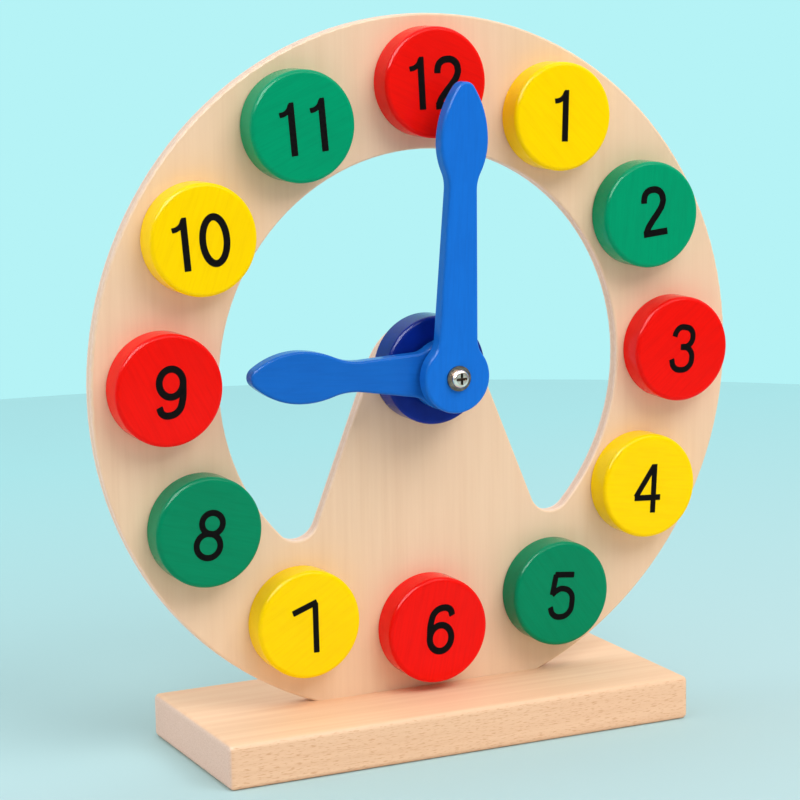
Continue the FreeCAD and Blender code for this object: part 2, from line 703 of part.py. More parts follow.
def draw_screw_profile(sketch):
    """Half section of the screw: X is the radius, Y runs from the head into the wood."""
    head = size["head_radius"]
    height = size["head_height"]
    corner = size["head_corner"]
    shank = size["screw_radius"]
    length = size["screw_length"]
    shoulder = length - size["screw_point"]
    rim_top = vector(head, corner - height)
    crown_end = vector(head - corner, -height)
    points = [
        vector(head, 0),
        vector(shank, 0),
        vector(shank, shoulder),
        vector(0, length),
        vector(0, -height),
        crown_end,
    ]
    rim = add_line(sketch, rim_top, points[0])
    lines = [add_line(sketch, start, end) for start, end in zip(points, points[1:])]
    under, side, point, axis, crown = lines
    rounding = add_arc(sketch, vector(head - corner, corner - height), crown_end, rim_top, True)
    for former, latter in zip([rim] + lines[:4], lines):
        sketch.addConstraint(
            Sketcher.Constraint("Coincident", *former[1], *latter[0])
        )
    sketch.addConstraint(Sketcher.Constraint("Tangent", *crown[1], *rounding[0]))
    sketch.addConstraint(Sketcher.Constraint("Tangent", *rounding[1], *rim[0]))
    sketch.addConstraint(Sketcher.Constraint("PointOnObject", *under[0], -1))
    sketch.addConstraint(Sketcher.Constraint("Vertical", rim[0][0]))
    sketch.addConstraint(Sketcher.Constraint("Horizontal", under[0][0]))
    sketch.addConstraint(Sketcher.Constraint("Vertical", side[0][0]))
    sketch.addConstraint(Sketcher.Constraint("PointOnObject", *axis[0], -2))
    sketch.addConstraint(Sketcher.Constraint("PointOnObject", *axis[1], -2))
    sketch.addConstraint(Sketcher.Constraint("Horizontal", crown[0][0]))
    bind(sketch, Sketcher.Constraint("Radius", rounding[0][0], corner), "Sizes.head_corner")
    bind(
        sketch,
        Sketcher.Constraint("DistanceX", -1, 1, *under[0], head),
        "Sizes.head_radius",
    )
    bind(
        sketch,
        Sketcher.Constraint("DistanceX", -1, 1, *under[1], shank),
        "Sizes.screw_radius",
    )
    bind(
        sketch,
        Sketcher.Constraint("DistanceY", -1, 1, *side[1], shoulder),
        "Sizes.screw_length - Sizes.screw_point",
    )
    bind(
        sketch,
        Sketcher.Constraint("DistanceY", -1, 1, *point[1], length),
        "Sizes.screw_length",
    )
    bind(
        sketch,
        Sketcher.Constraint("DistanceY", *axis[1], -1, 1, height),
        "Sizes.head_height",
    )


def make_screw():
    body = new_body("pivot_screw", y=HEAD_BACK, z=DIAL_AXIS_HEIGHT)
    profile = new_sketch(body, "screw_profile", "XY_Plane")
    draw_screw_profile(profile)
    turned = body.newObject("PartDesign::Revolution", "screw_turned")
    turned.Profile = profile
    turned.ReferenceAxis = (profile, ["V_Axis"])
    turned.Angle = 360
    profile.Visibility = False
    doc.recompute()

    slots = (
        ("recess_across", "recess_span", "recess_width"),
        ("recess_upright", "recess_width", "recess_span"),
    )
    for name, width, height in slots:
        slot = new_sketch(body, f"{name}_outline")
        slot.setExpression("AttachmentOffset.Base.z", "Sizes.head_height")
        add_rectangle(slot, size[width], size[height], f"Sizes.{width}", f"Sizes.{height}")
        pocket(body, slot, name, "Sizes.recess_depth")


make_base()
make_plate()
for hour in HOURS:
    make_disc(hour)
    make_peg(hour)
make_hub()
make_washer("rear_spacer", HUB_FRONT, "spacer_radius", "spacer_thick")
make_hand("hour", HOUR_BACK)
make_washer("middle_spacer", MIDDLE_SPACER, "spacer_radius", "spacer_thick")
make_hand("minute", MINUTE_BACK)
make_washer("front_washer", WASHER_BACK, "washer_radius", "washer_thick")
make_screw()
doc.recompute()

# Checks and export

for item in doc.Objects:
    for state in ("Invalid", "Error"):
        if state in item.State:
            raise RuntimeError(f"{item.Name} is {state}")

for sketch in doc.findObjects("Sketcher::SketchObject"):
    if sketch.solve() != 0:
        raise RuntimeError(f"{sketch.Name} does not solve")
    if not sketch.FullyConstrained:
        raise RuntimeError(f"{sketch.Name} is not fully constrained")

for body in pieces:
    shape = body.Shape
    if shape.isNull() or not shape.isValid() or len(shape.Solids) != 1:
        raise RuntimeError(f"{body.Label} is not one valid solid")

os.makedirs("parts", exist_ok=True)
for body in pieces:
    body.Shape.exportStep(f"parts/{body.Label}.step")
    print(body.Label, round(body.Shape.Volume, 1), "mm3")
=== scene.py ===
"""Finishes and printed numerals of a wooden teaching clock, with the studio it stands in."""

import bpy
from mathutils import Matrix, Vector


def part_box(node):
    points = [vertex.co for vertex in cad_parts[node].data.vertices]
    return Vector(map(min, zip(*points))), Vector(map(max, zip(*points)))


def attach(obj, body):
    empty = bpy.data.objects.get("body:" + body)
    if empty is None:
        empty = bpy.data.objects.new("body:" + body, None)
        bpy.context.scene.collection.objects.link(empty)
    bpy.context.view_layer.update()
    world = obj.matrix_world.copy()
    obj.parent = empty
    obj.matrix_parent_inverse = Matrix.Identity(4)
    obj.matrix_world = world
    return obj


bl_info = {
    "name": "Wooden teaching clock",
    "version": (1, 0, 0),
    "blender": (4, 5, 0),
    "location": "3D View > Sidebar > Teaching clock",
    "description": "Wood, paint and metal finishes, printed numerals and a studio",
    "category": "Object",
}

from math import pi, radians

import bpy
from bpy.props import FloatProperty, FloatVectorProperty, PointerProperty
from mathutils import Matrix, Vector

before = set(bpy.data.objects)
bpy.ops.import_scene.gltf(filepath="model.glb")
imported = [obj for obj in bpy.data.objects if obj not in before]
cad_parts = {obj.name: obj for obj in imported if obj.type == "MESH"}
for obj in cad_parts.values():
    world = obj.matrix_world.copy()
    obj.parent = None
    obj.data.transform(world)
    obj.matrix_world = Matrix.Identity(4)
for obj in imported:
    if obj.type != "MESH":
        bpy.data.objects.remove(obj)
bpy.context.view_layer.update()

MM = 0.001

# The paint of each hour's disc
DISC_PAINTS = {
    1: "yellow", 2: "green", 3: "red", 4: "yellow", 5: "deep_green", 6: "red",
    7: "yellow", 8: "deep_green", 9: "red", 10: "yellow", 11: "green", 12: "red",
}

# The tone of each paint where its coat is thick
THICK_COAT = {
    "red": "#B80A06", "yellow": "#E2AE00", "green": "#04694A", "deep_green": "#035C3E",
    # The hour hand's blue below is the same blue darkened as painted shade
    "blue": "#0E4FA8", "shaded_blue": "#0C4698", "navy": "#00124C",
}


def linear(code):
    """An sRGB hex colour as the linear RGBA that shaders use."""
    channels = [int(code[place:place + 2], 16) / 255 for place in (1, 3, 5)]
    lit = [c / 12.92 if c <= 0.04045 else ((c + 0.055) / 1.055) ** 2.4 for c in channels]
    return (*lit, 1.0)


def colour_setting(name, description, code):
    """A colour that the user can change, given as an sRGB hex value."""
    return FloatVectorProperty(
        name=name, description=description, subtype="COLOR", size=4,
        min=0.0, max=1.0, default=linear(code),
    )


def length_setting(name, description, millimetres):
    """A length that the user can change, given in millimetres."""
    return FloatProperty(
        name=name, description=description, subtype="DISTANCE", unit="LENGTH",
        min=0.0, precision=5, default=millimetres * MM,
    )


class ClockWoods(bpy.types.PropertyGroup):
    """Colours of the bare wood."""

    beech: colour_setting("Beech", "Long grain of the base block", "#EFCAA6")
    beech_end: colour_setting("Beech end grain", "Sawn ends of the base block", "#E4CABA")
    veneer: colour_setting("Veneer", "Face veneer of the dial plate", "#EED0AF")
    ply_edge: colour_setting("Plywood edge", "Sanded edge of the dial plate", "#EFD6C4")
    dowel: colour_setting("Dowel", "Pegs behind the number discs", "#E4C79C")


class ClockPaints(bpy.types.PropertyGroup):
    """Colours of the painted pieces."""

    red: colour_setting("Red", "Discs 3, 6, 9 and 12", "#F0130B")
    yellow: colour_setting("Yellow", "Discs 1, 4, 7 and 10", "#FFD800")
    green: colour_setting("Green", "Discs 2 and 11", "#009A6A")
    deep_green: colour_setting("Deep green", "Discs 5 and 8, from a darker batch", "#04875C")
    blue: colour_setting("Blue", "Minute hand", "#1771D6")
    # Painted shade: the hour hand's blue is darker because the hand sits further back, in shade
    shaded_blue: colour_setting("Shaded blue", "Hour hand", "#1868C4")
    navy: colour_setting("Navy", "Hub block", "#0C2C90")
    ink: colour_setting("Ink", "Printed numerals", "#080606")


class ClockPrint(bpy.types.PropertyGroup):
    """Sizes of the printed numerals."""

    stroke: length_setting("Stroke", "Width of a numeral's stroke", 2.3)
    fine_stroke: length_setting("Fine stroke", "Stroke of the numerals 3, 4, 5, 7 and 8", 2.05)
    flag: length_setting("Flag", "Width of the short stroke at the top of a one", 1.7)
    film: length_setting("Film", "How far the ink stands off its disc", 0.08)
    key: length_setting("Key", "How far the ink reaches into the paint", 0.05)
    corner: length_setting("Corner", "Rounding at the ends of the strokes", 0.35)


class ClockStage(bpy.types.PropertyGroup):
    """Floor, backdrop and light."""

    floor_near: colour_setting("Floor", "Floor in front of the clock", "#B0CDD0")
    floor_far: colour_setting("Far floor", "Floor behind the clock", "#A4DBDF")
    backdrop: colour_setting("Backdrop", "What shows behind the floor", "#B5F3F6")
    room: colour_setting("Room", "What stands on the camera's side", "#8F9496")
    floor_radius: length_setting("Floor radius", "Middle of the clock to the floor's edge", 720.0)
    key_power: FloatProperty(
        name="Key light", description="Power of the lamp above and in front",
        subtype="POWER", unit="POWER", min=0.0, default=10.2,
    )
    side_power: FloatProperty(
        name="Side light", description="Power of the lamp on the left, level with the dial",
        subtype="POWER", unit="POWER", min=0.0, default=0.7,
    )
    rim_power: FloatProperty(
        name="Rim light", description="Power of the lamp that only draws bright lines on edges",
        subtype="POWER", unit="POWER", min=0.0, default=65.0,
    )
    sky_front: FloatProperty(
        name="Front sky", description="Strength of the even light from the camera's side",
        min=0.0, max=2.0, default=0.42,
    )
    sky_back: FloatProperty(
        name="Back sky", description="Strength of the even light from behind the clock",
        min=0.0, max=2.0, default=0.5,
    )
    sky_top: FloatProperty(
        name="Top sky", description="Strength of the light added from overhead",
        min=0.0, max=4.0, default=0.85,
    )


# Nodes and materials

def add_node(tree, kind, sockets, **settings):
    """Adds a node with its settings, and fills or links its sockets."""
    node = tree.nodes.new(kind)
    for name, value in settings.items():
        setattr(node, name, value)
    for name, value in sockets.items():
        if isinstance(value, bpy.types.NodeSocket):
            tree.links.new(value, node.inputs[name])
        else:
            node.inputs[name].default_value = value
    return node


def cloudiness(tree, cell, centre=(0, 0, 0), turn=(0, 0, 0), detail=2.0):
    """Noise whose cells have these sizes in millimetres along X, Y and Z about a centre."""
    place = add_node(tree, "ShaderNodeTexCoord", {})
    cells = add_node(tree, "ShaderNodeMapping", {
        "Vector": place.outputs["Object"],
        "Location": centre,
        "Rotation": turn,
        "Scale": [side * MM for side in cell],
    }, vector_type="TEXTURE")
    noise = add_node(tree, "ShaderNodeTexNoise", {
        "Vector": cells.outputs["Vector"], "Scale": 1.0, "Detail": detail,
    })
    return noise.outputs[0]


def ramp(tree, value, start, stop, low=0.0, high=1.0):
    """A number that runs from low to high while value runs from start to stop."""
    spread = add_node(tree, "ShaderNodeMapRange", {
        "Value": value, "From Min": start, "From Max": stop, "To Min": low, "To Max": high,
    })
    return spread.outputs[0]


def blend_colours(tree, share, first, second):
    """A colour between first and second."""
    # 6, 7 and 2 are the node's sockets for colours
    mixed = add_node(tree, "ShaderNodeMix", {0: share, 6: first, 7: second}, data_type="RGBA")
    return mixed.outputs[2]


def along(tree, axis, source="Object"):
    """The X, Y or Z part of a point on the piece, or of its normal."""
    place = add_node(tree, "ShaderNodeTexCoord", {})
    parts = add_node(tree, "ShaderNodeSeparateXYZ", {"Vector": place.outputs[source]})
    return parts.outputs[axis]


def combine(tree, how, first, second=0.0):
    """Two numbers combined by one arithmetic step."""
    return add_node(tree, "ShaderNodeMath", {0: first, 1: second}, operation=how).outputs[0]


def start_material(name):
    """An empty node material."""
    material = bpy.data.materials.new(name)
    material.use_nodes = True
    material.node_tree.nodes.clear()
    return material, material.node_tree


def end_material(tree, sockets):
    """The surface shader with these sockets filled, and the output."""
    surface = add_node(tree, "ShaderNodeBsdfPrincipled", sockets)
    add_node(tree, "ShaderNodeOutputMaterial", {"Surface": surface.outputs["BSDF"]})


def relief(tree, height, depth):
    """A surface normal that follows height, up to a depth in millimetres."""
    bump = add_node(tree, "ShaderNodeBump", {
        "Strength": 1.0, "Distance": depth * MM, "Height": height,
    })
    return bump.outputs["Normal"]


def finish(node_name, material):
    """Gives a CAD node its material."""
    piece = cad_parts[node_name]
    if not piece.material_slots:
        piece.data.materials.append(material)
    for slot in piece.material_slots:
        slot.material = material


def centre_of(node_name):
    """Middle of a CAD node's box."""
    low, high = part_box(node_name)
    return (Vector(low) + Vector(high)) / 2


def sanded_beech(woods):
    """Beech, planed and sanded, then oiled: long even grain, short dark ray flecks where the
    face is cut tangentially, and speckled ends with a dull low sheen."""
    material, tree = start_material("sanded_beech")
    streaks = cloudiness(tree, (110, 3.2, 2.2), detail=4.0)
    heart = cloudiness(tree, (160, 26, 18), detail=1.0)
    long_grain = blend_colours(
        tree, ramp(tree, streaks, 0.32, 0.68, 0.0, 0.24), woods.beech, linear("#C98F62")
    )
    long_grain = blend_colours(
        tree, ramp(tree, heart, 0.35, 0.7, 0.0, 0.35), long_grain, linear("#F6CBA6")
    )
    # A ray is under 2 mm long and a quarter of a millimetre high; drawn a little larger to show
    rays = cloudiness(tree, (2.6, 12, 0.36), detail=2.0)
    facing_front = combine(tree, "ABSOLUTE", along(tree, 1, "Normal"))
    flecks = combine(
        tree, "MULTIPLY", ramp(tree, rays, 0.54, 0.68), ramp(tree, facing_front, 0.6, 0.9)
    )
    long_grain = blend_colours(
        tree, combine(tree, "MULTIPLY", flecks, 0.45), long_grain, linear("#C07E48")
    )
    pores = cloudiness(tree, (3, 0.5, 0.5), detail=2.0)
    ends = blend_colours(
        tree, ramp(tree, pores, 0.35, 0.7, 0.0, 0.4), woods.beech_end, linear("#BD9A7C")
    )
    facing_side = combine(tree, "ABSOLUTE", along(tree, 0, "Normal"))
    colour = blend_colours(tree, ramp(tree, facing_side, 0.55, 0.85), long_grain, ends)
    fibre = cloudiness(tree, (14, 0.5, 0.35), detail=3.0)
    end_material(tree, {
        "Base Color": colour,
        "Roughness": ramp(tree, streaks, 0.3, 0.7, 0.46, 0.58),
        "IOR": 1.5,
        "Specular IOR Level": 0.2,
        "Normal": relief(tree, fibre, 0.03),
    })
    return material


def birch_plywood(woods):
    """Birch plywood, sawn out, its edges sanded round, and lacquered thinly: close upright grain
    on the faces, three pale layers with fine glue lines round the edge, a soft satin sheen."""
    material, tree = start_material("birch_plywood")
    grain = cloudiness(tree, (4.2, 8, 130), detail=4.0)
    fine = cloudiness(tree, (0.9, 3, 26), detail=2.0)
    flame = cloudiness(tree, (24, 12, 150), detail=1.5)
    face = blend_colours(
        tree, ramp(tree, grain, 0.33, 0.68, 0.0, 0.12), woods.veneer, linear("#CB9A6C")
    )
    face = blend_colours(
        tree, ramp(tree, fine, 0.4, 0.7, 0.0, 0.05), face, linear("#B5814F")
    )
    face = blend_colours(
        tree, ramp(tree, flame, 0.38, 0.66, 0.0, 0.30), face, linear("#F3D2B4")
    )
    # Three equal layers: a core between two faces
    low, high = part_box("dial_plate")
    depth = combine(tree, "SUBTRACT", along(tree, 1), (low[1] + high[1]) / 2)
    off_middle = combine(tree, "ABSOLUTE", depth)
    half_core = (high[1] - low[1]) / 3 / 2
    half_glue = 0.09 * MM
    core_grain = cloudiness(tree, (1.2, 1.0, 1.2), detail=2.0)
    layer = blend_colours(
        tree, ramp(tree, core_grain, 0.35, 0.7, 0.0, 0.35), woods.ply_edge, linear("#D9AF8C")
    )
    core = combine(tree, "LESS_THAN", off_middle, half_core)
    layer = blend_colours(
        tree, combine(tree, "MULTIPLY", core, 0.22), layer, linear("#C99B76")
    )
    glue = add_node(
        tree, "ShaderNodeMath", {0: off_middle, 1: half_core, 2: half_glue}, operation="COMPARE"
    ).outputs[0]
    layer = blend_colours(
        tree, combine(tree, "MULTIPLY", glue, 0.35), layer, linear("#B98B66")
    )
    facing_front = combine(tree, "ABSOLUTE", along(tree, 1, "Normal"))
    colour = blend_colours(tree, ramp(tree, facing_front, 0.25, 0.75), layer, face)
    end_material(tree, {
        "Base Color": colour,
        "Roughness": ramp(tree, grain, 0.3, 0.7, 0.42, 0.54),
        "IOR": 1.5,
        "Specular IOR Level": 0.2,
        "Normal": relief(tree, fine, 0.02),
    })
    return material


def painted_wood(name, paint, thick_coat, centre, lean):
    """Hardwood sprayed with satin paint: an even colour in which the raised fibre of the wood
    still shows as faint streaks, and a clear sheen that blurs a little where it is thick.
    The fibre runs through the centre and leans this many degrees from upright."""
    material, tree = start_material(name)
    turn = (0, radians(lean), 0)
    fibre = cloudiness(tree, (0.75, 0.75, 11), centre, turn, detail=3.0)
    cloud = cloudiness(tree, (9, 9, 13), centre, turn, detail=2.0)
    colour = blend_colours(tree, ramp(tree, fibre, 0.42, 0.72, 0.0, 0.15), paint, thick_coat)
    colour = blend_colours(tree, ramp(tree, cloud, 0.4, 0.7, 0.0, 0.10), colour, thick_coat)
    end_material(tree, {
        "Base Color": colour,
        "Roughness": ramp(tree, cloud, 0.3, 0.7, 0.09, 0.19),
        "IOR": 1.5,
        "Specular IOR Level": 0.08,
        "Normal": relief(tree, fibre, 0.03),
    })
    return material


def lacquered_hub(paints):
    """Hardwood dipped in a thick gloss lacquer: deep colour, a smooth skin with a slight
    orange peel, and clear bright reflections along its rim."""
    material, tree = start_material("navy_lacquer")
    centre = centre_of("hub_block")
    peel = cloudiness(tree, (1.4, 1.4, 1.4), centre, detail=1.0)
    cloud = cloudiness(tree, (7, 7, 9), centre, detail=2.0)
    colour = blend_colours(
        tree, ramp(tree, cloud, 0.35, 0.7, 0.0, 0.35), paints.navy, linear(THICK_COAT["navy"])
    )
    end_material(tree, {
        "Base Color": colour,
        "Roughness": ramp(tree, cloud, 0.3, 0.7, 0.12, 0.2),
        "IOR": 1.5,
        "Specular IOR Level": 0.1,
        "Normal": relief(tree, peel, 0.015),
    })
    return material


def birch_dowel(woods):
    """Birch dowel, cut and left bare: fine open end grain and long straight fibres."""
    material, tree = start_material("birch_dowel")
    fibre = cloudiness(tree, (0.45, 14, 0.45), detail=3.0)
    colour = blend_colours(
        tree, ramp(tree, fibre, 0.35, 0.7, 0.0, 0.45), woods.dowel, linear("#B98F60")
    )
    end_material(tree, {
        "Base Color": colour,
        "Roughness": ramp(tree, fibre, 0.3, 0.7, 0.6, 0.75),
        "Normal": relief(tree, fibre, 0.05),
    })
    return material


def moulded_nylon():
    """Natural nylon, injection moulded: milky white, smooth, slightly waxy."""
    material, tree = start_material("moulded_nylon")
    mottle = cloudiness(tree, (2.5, 2.5, 2.5), detail=2.0)
    colour = blend_colours(
        tree, ramp(tree, mottle, 0.3, 0.7, 0.0, 0.5), linear("#E9E7DF"), linear("#DEDACF")
    )
    end_material(tree, {
        "Base Color": colour,
        "Roughness": ramp(tree, mottle, 0.3, 0.7, 0.38, 0.5),
        "IOR": 1.53,
        "Normal": relief(tree, mottle, 0.01),
    })
    return material


def recess_shade_mask(tree):
    """Where painted shade goes: one inside the cross recess of the screw's head, and nothing
    elsewhere.
    """
    low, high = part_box("pivot_screw")
    half_span = 1.9 * MM
    lip = 0.35 * MM
    place = add_node(tree, "ShaderNodeTexCoord", {})
    from_axis = add_node(tree, "ShaderNodeVectorMath", {
        0: place.outputs["Object"], 1: (Vector(low) + Vector(high)) / 2,
    }, operation="SUBTRACT")
    flat = add_node(tree, "ShaderNodeVectorMath", {
        0: from_axis.outputs[0], 1: (1, 0, 1),
    }, operation="MULTIPLY")
    reach = add_node(tree, "ShaderNodeVectorMath", {0: flat.outputs[0]}, operation="LENGTH")
    inner = combine(tree, "LESS_THAN", reach.outputs["Value"], half_span)
    sunk = combine(tree, "GREATER_THAN", along(tree, 1), low[1] + lip)
    return combine(tree, "MULTIPLY", inner, sunk)


def plated_steel(name, bright, dull, recess=False):
    """Steel, cold formed and plated: a warm silver mirror with fine tool marks that blur it a
    little, duller where it is worn, and with painted shade inside the screw's cross recess when
    recess is set."""
    material, tree = start_material(name)
    marks = cloudiness(tree, (0.35, 0.35, 0.35), detail=3.0)
    wear = cloudiness(tree, (1.6, 1.6, 1.6), detail=2.0)
    colour = blend_colours(
        tree, ramp(tree, wear, 0.35, 0.65), linear(bright), linear(dull)
    )
    if recess:
        # Painted shade: the cross recess is coloured dark brown for the shade that falls in it
        colour = blend_colours(tree, recess_shade_mask(tree), colour, linear("#5A4A3E"))
    end_material(tree, {
        "Base Color": colour,
        "Metallic": 1.0,
        "Roughness": ramp(tree, wear, 0.3, 0.7, 0.14, 0.26),
        "Normal": relief(tree, marks, 0.01),
    })
    return material


def printed_ink(paints):
    """Pad-printed ink: a thin, nearly black film with a flat satin skin."""
    material, tree = start_material("black_pad_print")
    cover = cloudiness(tree, (1.1, 1.1, 1.1), detail=2.0)
    colour = blend_colours(
        tree, ramp(tree, cover, 0.35, 0.7, 0.0, 0.5), paints.ink, linear("#0F0C0B")
    )
    end_material(tree, {
        "Base Color": colour,
        "Roughness": ramp(tree, cover, 0.3, 0.7, 0.42, 0.55),
        "Specular IOR Level": 0.06,
        "Normal": relief(tree, cover, 0.008),
    })
    return material


class CLOCK_OT_finish_stand(bpy.types.Operator):
    """Give the base block and the dial plate their wood"""

    bl_idname = "clock.finish_stand"
    bl_label = "Finish the stand"

    def execute(self, context):
        woods = context.scene.clock_woods
        finish("base_block", sanded_beech(woods))
        finish("dial_plate", birch_plywood(woods))
        return {"FINISHED"}


class CLOCK_OT_paint_discs(bpy.types.Operator):
    """Paint the twelve number discs and leave their pegs bare"""

    bl_idname = "clock.paint_discs"
    bl_label = "Paint the number discs"

    def execute(self, context):
        paints = context.scene.clock_paints
        dowel = birch_dowel(context.scene.clock_woods)
        for hour, paint in DISC_PAINTS.items():
            node_name = f"number_disc_{hour:02d}"
            # The grain of each disc lies at its own angle
            lean = (hour * 47) % 180 - 90
            finish(node_name, painted_wood(
                f"{paint}_satin_paint_{hour:02d}", getattr(paints, paint),
                linear(THICK_COAT[paint]), centre_of(node_name), lean,
            ))
            finish(f"disc_peg_{hour:02d}", dowel)
        return {"FINISHED"}


class CLOCK_OT_finish_hands(bpy.types.Operator):
    """Paint the two hands and lacquer the hub behind them"""

    bl_idname = "clock.finish_hands"
    bl_label = "Finish the hands and hub"

    def execute(self, context):
        paints = context.scene.clock_paints
        # The grain runs along each hand, which leans this many degrees from upright
        # The hour hand gets the darker blue, which is painted shade for where it sits
        for name, paint, lean in (("minute_hand", "blue", 2.8), ("hour_hand", "shaded_blue", 93.8)):
            finish(name, painted_wood(
                f"blue_satin_paint_{name}", getattr(paints, paint),
                linear(THICK_COAT[paint]), centre_of(name), lean,
            ))
        finish("hub_block", lacquered_hub(paints))
        return {"FINISHED"}


class CLOCK_OT_finish_fittings(bpy.types.Operator):
    """Give the screw, its washer and the spacers their metal and nylon"""

    bl_idname = "clock.finish_fittings"
    bl_label = "Finish the screw and washers"

    def execute(self, context):
        nylon = moulded_nylon()
        finish("rear_spacer", nylon)
        finish("middle_spacer", nylon)
        finish("front_washer", plated_steel("zinc_plated_steel", "#A0948A", "#71665E"))
        # The screw's cross recess gets painted shade
        screw = plated_steel("nickel_plated_steel", "#FFF6EA", "#E6D6C4", recess=True)
        finish("pivot_screw", screw)
        return {"FINISHED"}


# Printed numerals: each digit is a few strokes, in millimetres about its middle, X to the
# right and Y up. A bar is straight, a flag is slim, a bow runs smoothly through its points,
# and a ring has its middle and its two radii.

DIGITS = {
    "0": (("ring", (0, 0), (4.1, 7.5)),),
    "1": (
        ("bar", (0, -8.6), (0, 6.6)),
        ("flag", (0.3, 5.0), (0.3, 8.6)),
        ("flag", (-4.1, 4.9), (-2.4, 5.2), (-0.9, 6.2), (0.0, 7.9)),
    ),
    "2": (
        (
            "bow", (-3.7, 3.2), (-3.6, 4.4), (-2.6, 6.6), (0, 7.5), (2.7, 6.6), (3.8, 4.3),
            (3.4, 2.0), (1.5, -0.6), (-1.0, -3.2), (-3.3, -6.2), (-3.6, -7.4),
        ),
        ("bar", (-4.8, -7.4), (4.6, -7.4)),
    ),
    "3": (
        (
            "bow", (-3.6, 4.0), (-3.2, 5.6), (-1.6, 7.3), (0.2, 7.5), (2.6, 6.8), (3.7, 4.5),
            (2.9, 1.8), (1.0, 0.6), (-0.8, 0.5),
        ),
        (
            "bow", (-0.8, 0.5), (1.0, 0.6), (3.2, -0.6), (4.1, -3.2), (3.3, -6.0), (0.2, -7.5),
            (-2.8, -6.6), (-4.0, -3.9),
        ),
    ),
    "4": (
        ("bar", (2.2, -8.6), (2.2, 8.6)),
        ("bar", (-5.3, -3.2), (5.0, -3.2)),
        ("bar", (2.0, 8.0), (-4.8, -2.8)),
    ),
    "5": (
        ("bar", (-3.3, 7.4), (4.2, 7.4)),
        ("bar", (-2.9, 7.5), (-3.8, 0.3)),
        (
            "bow", (-3.9, 0.3), (-2.0, 1.9), (0.2, 2.5), (3.4, 1.0), (4.2, -2.4), (3.3, -5.9),
            (0, -7.5), (-3.0, -6.5), (-4.2, -4.0),
        ),
    ),
    "6": (
        ("ring", (0, -3.0), (4.05, 4.5)),
        (
            "bow", (4.0, 4.7), (2.9, 6.9), (0.4, 7.5), (-2.6, 6.0), (-3.9, 2.5), (-4.05, -3.0),
        ),
    ),
    "7": (
        ("bar", (-4.4, 7.4), (4.9, 7.4)),
        ("bar", (4.2, 7.4), (-1.4, -8.6)),
    ),
    "8": (
        ("ring", (0, 3.95), (3.6, 3.5)),
        ("ring", (0, -3.45), (4.1, 4.0)),
    ),
    "9": (
        ("ring", (0, 3.0), (4.05, 4.5)),
        (
            "bow", (-4.0, -4.7), (-2.9, -6.9), (-0.4, -7.5), (2.6, -6.0), (3.9, -2.5),
            (4.05, 3.0),
        ),
    ),
}

# For each hour: digit, its middle right of and above the disc's middle, and how far it is
# turned to the left, in degrees. The loose discs all stand a little askew.
NUMERALS = {
    1: (("1", 0.6, 0.3, -2.2),),
    2: (("2", 0.7, 1.2, 5.2),),
    3: (("3", -0.1, 0.25, -7.0),),
    4: (("4", -0.75, -0.75, -3.5),),
    5: (("5", -0.25, -0.55, -6.0),),
    6: (("6", 0.65, 0.35, -4.5),),
    7: (("7", 0.4, -0.9, 19.8),),
    8: (("8", -0.1, -0.75, -12.6),),
    9: (("9", 0.25, -0.4, -2.0),),
    10: (("1", -6.6, -0.9, 4.5), ("0", 3.4, -0.1, 4.5)),
    11: (("1", -4.0, -0.7, 4.5), ("1", 6.7, 0.4, 4.5)),
    12: (("1", -5.5, 0.0, 2.5), ("2", 4.1, 0.0, 2.5)),
}

# Hours whose numerals have finer strokes
FINELY_PRINTED = (3, 4, 5, 7, 8)

# Steps from one point of a stroke to the next
STROKE_STEPS = {"bar": 1, "flag": 7, "bow": 7, "ring": 14}

# How much two sides of a stroke have to turn for the corner between them to be rounded
SHARP_ANGLE = radians(50)
CORNER_STEPS = 3

# A numeral with fewer faces than this has lost its strokes
FEWEST_FACES = 20

# Points of a curve closer than this, in metres, are one
SAME_POINT = 1e-6


def only(*pieces):
    """Selects these pieces alone, and makes the first one active."""
    bpy.ops.object.select_all(action="DESELECT")
    for piece in pieces:
        piece.select_set(True)
    bpy.context.view_layer.objects.active = pieces[0]


def ink_section(name, width, film, key):
    """The flat cross-section that is drawn along a stroke."""
    bpy.ops.object.select_all(action="DESELECT")
    bpy.ops.curve.primitive_bezier_circle_add()
    section = bpy.context.object
    section.name = name
    corners = ((-width / 2, -key), (-width / 2, film), (width / 2, film), (width / 2, -key))
    for point, (across, up) in zip(section.data.splines[0].bezier_points, corners):
        point.handle_left_type = point.handle_right_type = "VECTOR"
        point.co = (across, up, 0)
    section.data.resolution_u = 1
    return section


